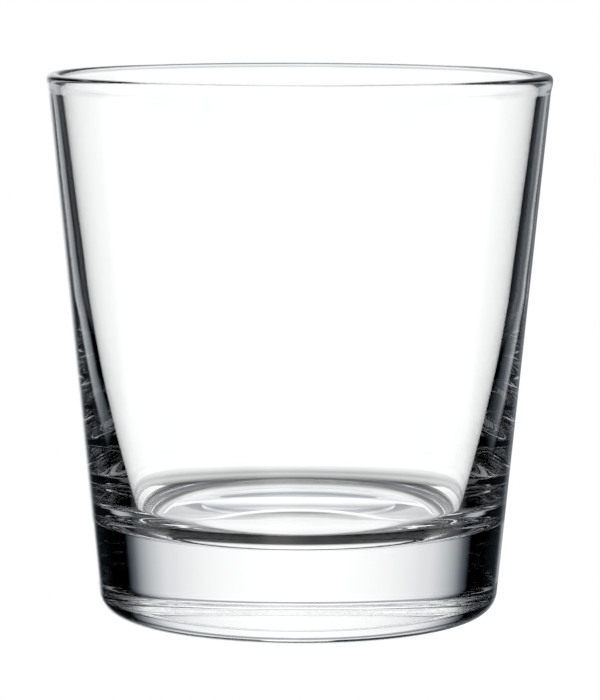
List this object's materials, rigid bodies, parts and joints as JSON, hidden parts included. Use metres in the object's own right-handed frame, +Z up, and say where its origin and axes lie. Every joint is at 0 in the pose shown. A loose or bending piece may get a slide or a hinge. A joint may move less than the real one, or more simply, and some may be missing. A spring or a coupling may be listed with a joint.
{
  "type": "whiskey tumbler",
  "caption": "Clear pressed-glass rocks tumbler with a tapered wall, thick solid base and rounded rim bead, free-standing on a foot ring.",
  "frame": {"origin": "centre of the foot ring, on the plane that the glass stands on", "axes": "+Z up along the glass's axis of rotation, out of the mouth; +X and +Y are equivalent, because the glass is round"},
  "size_m": [0.0838, 0.0838, 0.09],
  "materials": {
    "clear_glass": "fire-polished clear soda-lime glass, colourless, very smooth"
  },
  "bodies": {
    "root": {"glass_body": "clear_glass"}
  },
  "joints": []
}
